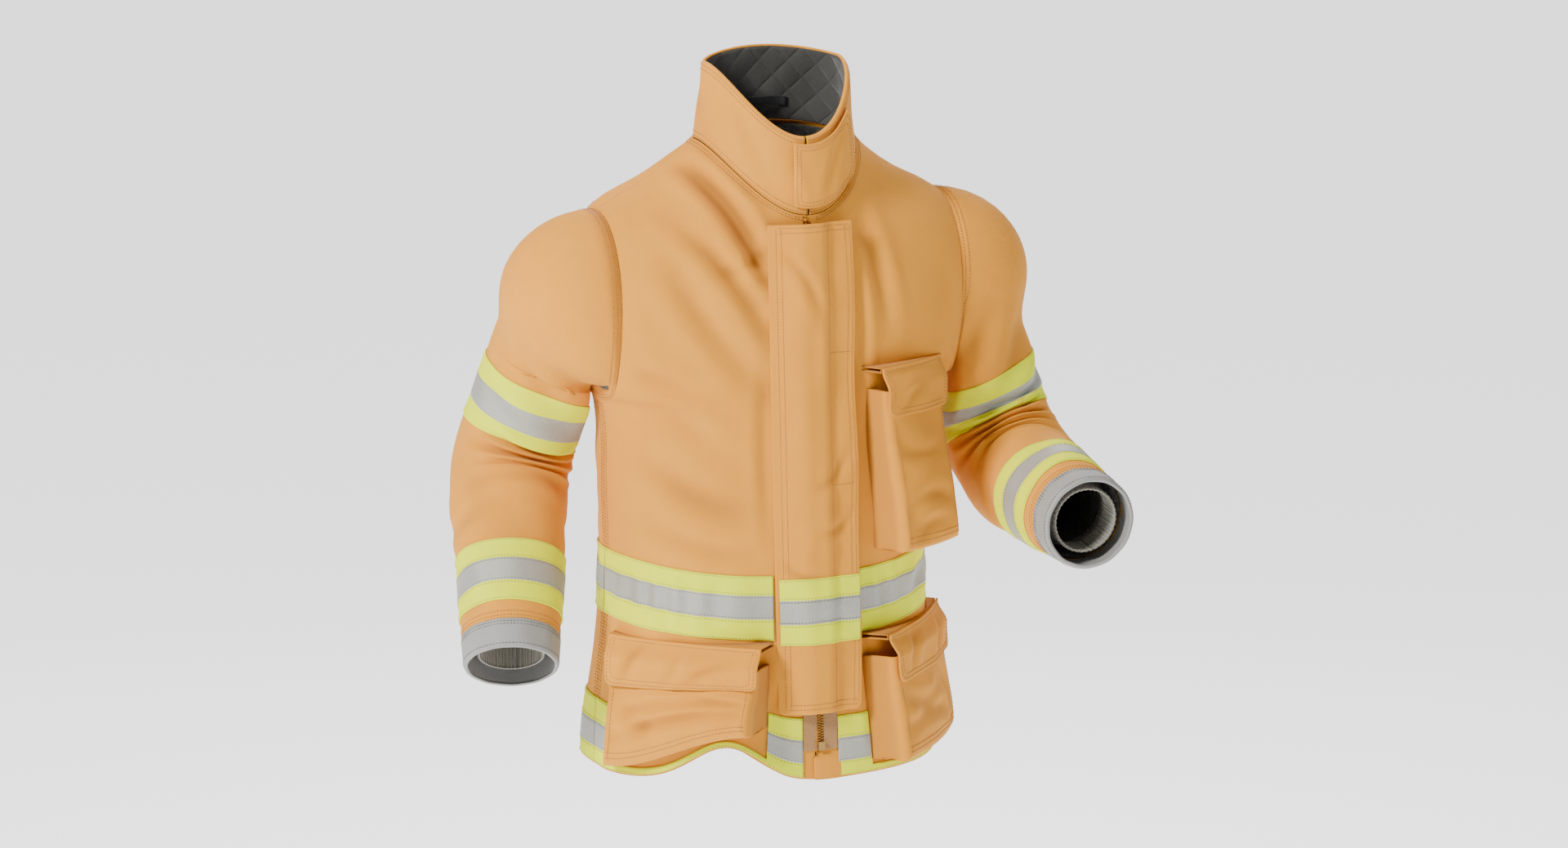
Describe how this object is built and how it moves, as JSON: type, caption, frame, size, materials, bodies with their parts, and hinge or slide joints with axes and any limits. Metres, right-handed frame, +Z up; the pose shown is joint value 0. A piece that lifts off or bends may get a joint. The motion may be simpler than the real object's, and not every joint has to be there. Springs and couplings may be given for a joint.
{
  "type": "turnout coat",
  "caption": "Firefighter's turnout coat on an unseen wearer, arms bent, with storm flap, zip, stand collar, bellows pockets and reflective trim.",
  "frame": {"origin": "middle of the wearer's neck, level with the side of the collar seam", "axes": "+Z up along the wearer, -Y is the way the wearer faces, +X is the wearer's left"},
  "size_m": [0.7449, 0.4314, 0.8152],
  "materials": {
    "shell_cloth": "tan flame-resistant woven outer shell",
    "lime_trim": "lime reflective trim with a silver middle band",
    "cuff_grey": "grey woven cuff reinforcement",
    "lining": "dark quilted lining",
    "fastener_tape": "black hook and loop tape, webbing and zip tape",
    "wristlet_knit": "ribbed knit",
    "zip_metal": "brushed brass"
  },
  "bodies": {
    "coat_body": {"back_panel": "shell_cloth", "front_panel_right": "shell_cloth", "front_panel_left": "shell_cloth", "body_liner": "lining", "collar_shell": "shell_cloth", "collar_lining": "lining", "throat_tab_loop_strip": "fastener_tape", "hanger_loop": "fastener_tape", "waist_trim_back": "lime_trim", "waist_trim_right": "lime_trim", "waist_trim_left": "lime_trim", "hem_trim_back": "lime_trim", "hem_trim_right": "lime_trim", "hem_trim_left": "lime_trim", "zipper_tape_right": "fastener_tape", "zipper_tape_left": "fastener_tape", "zipper_teeth_right": "zip_metal", "zipper_teeth_left": "zip_metal", "zipper_bottom_stop": "zip_metal", "flap_loop_strip": "fastener_tape", "hip_pocket_right": "shell_cloth", "hip_pocket_right_loop_strip": "fastener_tape", "hip_pocket_flap_right_seam": "shell_cloth", "hip_pocket_left": "shell_cloth", "hip_pocket_left_loop_strip": "fastener_tape", "hip_pocket_flap_left_seam": "shell_cloth", "chest_pocket": "shell_cloth", "chest_pocket_loop_strip": "fastener_tape", "chest_pocket_flap_seam": "shell_cloth", "drag_handle": "fastener_tape"},
    "storm_flap": {"storm_flap": "shell_cloth", "flap_hook_strip": "fastener_tape"},
    "throat_tab": {"throat_tab": "shell_cloth"},
    "zipper_slider": {"zipper_slider": "zip_metal", "zipper_pull": "zip_metal"},
    "hip_pocket_flap_right": {"hip_pocket_flap_right": "shell_cloth"},
    "hip_pocket_flap_left": {"hip_pocket_flap_left": "shell_cloth"},
    "chest_pocket_flap": {"chest_pocket_flap": "shell_cloth"},
    "drag_handle_flap": {"drag_handle_flap": "shell_cloth"},
    "upper_sleeve_right": {"upper_sleeve_right": "shell_cloth", "upper_liner_right": "lining", "elbow_sleeve_right": "shell_cloth", "elbow_liner_right": "lining", "upper_trim_right": "lime_trim"},
    "lower_sleeve_right": {"lower_sleeve_right": "shell_cloth", "cuff_right": "cuff_grey", "lower_trim_right": "lime_trim", "lower_liner_right": "lining", "wristlet_right": "wristlet_knit"},
    "upper_sleeve_left": {"upper_sleeve_left": "shell_cloth", "upper_liner_left": "lining", "elbow_sleeve_left": "shell_cloth", "elbow_liner_left": "lining", "upper_trim_left": "lime_trim"},
    "lower_sleeve_left": {"lower_sleeve_left": "shell_cloth", "cuff_left": "cuff_grey", "lower_trim_left": "lime_trim", "lower_liner_left": "lining", "wristlet_left": "wristlet_knit"}
  },
  "joints": [
    {"name": "storm_flap_hinge", "type": "hinge", "parent": "coat_body", "child": "storm_flap", "pos_m": [-0.0496, -0.14035, -0.35852], "axis": [0, -0.0596, -0.9982], "range_deg": [0, 95]},
    {"name": "throat_tab_hinge", "type": "hinge", "parent": "coat_body", "child": "throat_tab", "pos_m": [-0.01674, -0.12117, -0.02535], "axis": [-0.0191, -0.0921, -0.9956], "range_deg": [0, 110]},
    {"name": "zipper_slide", "type": "slide", "parent": "coat_body", "child": "zipper_slider", "axis": [0, -0.0596, -0.9982], "range_m": [0, 0.56]},
    {"name": "hip_pocket_flap_right_hinge", "type": "hinge", "parent": "coat_body", "child": "hip_pocket_flap_right", "pos_m": [-0.15231, -0.11683, -0.5535], "axis": [-0.7071, 0.7071, 0], "range_deg": [0, 130]},
    {"name": "hip_pocket_flap_left_hinge", "type": "hinge", "parent": "coat_body", "child": "hip_pocket_flap_left", "pos_m": [0.14768, -0.10504, -0.5535], "axis": [-0.6428, -0.766, 0], "range_deg": [0, 130]},
    {"name": "chest_pocket_flap_hinge", "type": "hinge", "parent": "coat_body", "child": "chest_pocket_flap", "pos_m": [0.12849, -0.13117, -0.2485], "axis": [-0.8572, -0.515, 0], "range_deg": [0, 130]},
    {"name": "drag_handle_flap_hinge", "type": "hinge", "parent": "coat_body", "child": "drag_handle_flap", "pos_m": [0, 0.13953, -0.10311], "axis": [1, 0, 0], "range_deg": [0, 110]},
    {"name": "shoulder_right", "type": "hinge", "parent": "coat_body", "child": "upper_sleeve_right", "pos_m": [-0.2076, 0.005, -0.178], "axis": [-1, 0, 0], "range_deg": [-25, 75]},
    {"name": "elbow_right", "type": "hinge", "parent": "upper_sleeve_right", "child": "lower_sleeve_right", "pos_m": [-0.28, 0.1, -0.372], "axis": [-0.9526, -0.0528, 0.2997], "range_deg": [-45, 50], "deforming": ["elbow_sleeve_right", "elbow_liner_right", "upper_trim_right"]},
    {"name": "shoulder_left", "type": "hinge", "parent": "coat_body", "child": "upper_sleeve_left", "pos_m": [0.2076, 0.005, -0.178], "axis": [-1, 0, 0], "range_deg": [-20, 60]},
    {"name": "elbow_left", "type": "hinge", "parent": "upper_sleeve_left", "child": "lower_sleeve_left", "pos_m": [0.295, 0, -0.4], "axis": [-0.9404, 0.0607, -0.3347], "range_deg": [-70, 24], "deforming": ["elbow_sleeve_left", "elbow_liner_left", "upper_trim_left"]}
  ]
}
